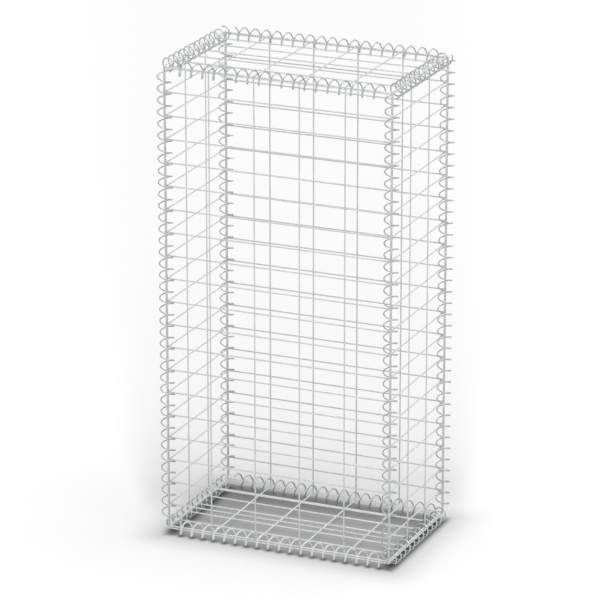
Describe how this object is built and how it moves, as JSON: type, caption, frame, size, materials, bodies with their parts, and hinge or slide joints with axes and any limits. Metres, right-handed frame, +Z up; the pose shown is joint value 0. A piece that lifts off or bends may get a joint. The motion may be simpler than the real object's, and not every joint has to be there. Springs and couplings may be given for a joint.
{
  "type": "gabion basket",
  "caption": "Tall box basket of welded wire mesh with base and lid, bound along every edge by spiral wire binders; filled with stone it forms one bay of a gabion wall.",
  "frame": {"origin": "middle of the basket's footprint, on the ground under the base spirals", "axes": "+Z up, +X along the long face to the right seen from the front, +Y to the back"},
  "size_m": [0.5308, 0.3312, 1.0318],
  "materials": {
    "mesh_wire": "galvanised",
    "spiral_wire": "galvanised"
  },
  "bodies": {
    "root": {"front_panel": "mesh_wire", "back_panel": "mesh_wire", "left_panel": "mesh_wire", "right_panel": "mesh_wire", "lid_panel": "mesh_wire", "base_panel": "mesh_wire", "front_left_spiral": "spiral_wire", "front_right_spiral": "spiral_wire", "back_left_spiral": "spiral_wire", "back_right_spiral": "spiral_wire", "lid_front_spiral": "spiral_wire", "lid_back_spiral": "spiral_wire", "lid_left_spiral": "spiral_wire", "lid_right_spiral": "spiral_wire", "base_front_spiral": "spiral_wire", "base_back_spiral": "spiral_wire", "base_left_spiral": "spiral_wire", "base_right_spiral": "spiral_wire"}
  },
  "joints": []
}
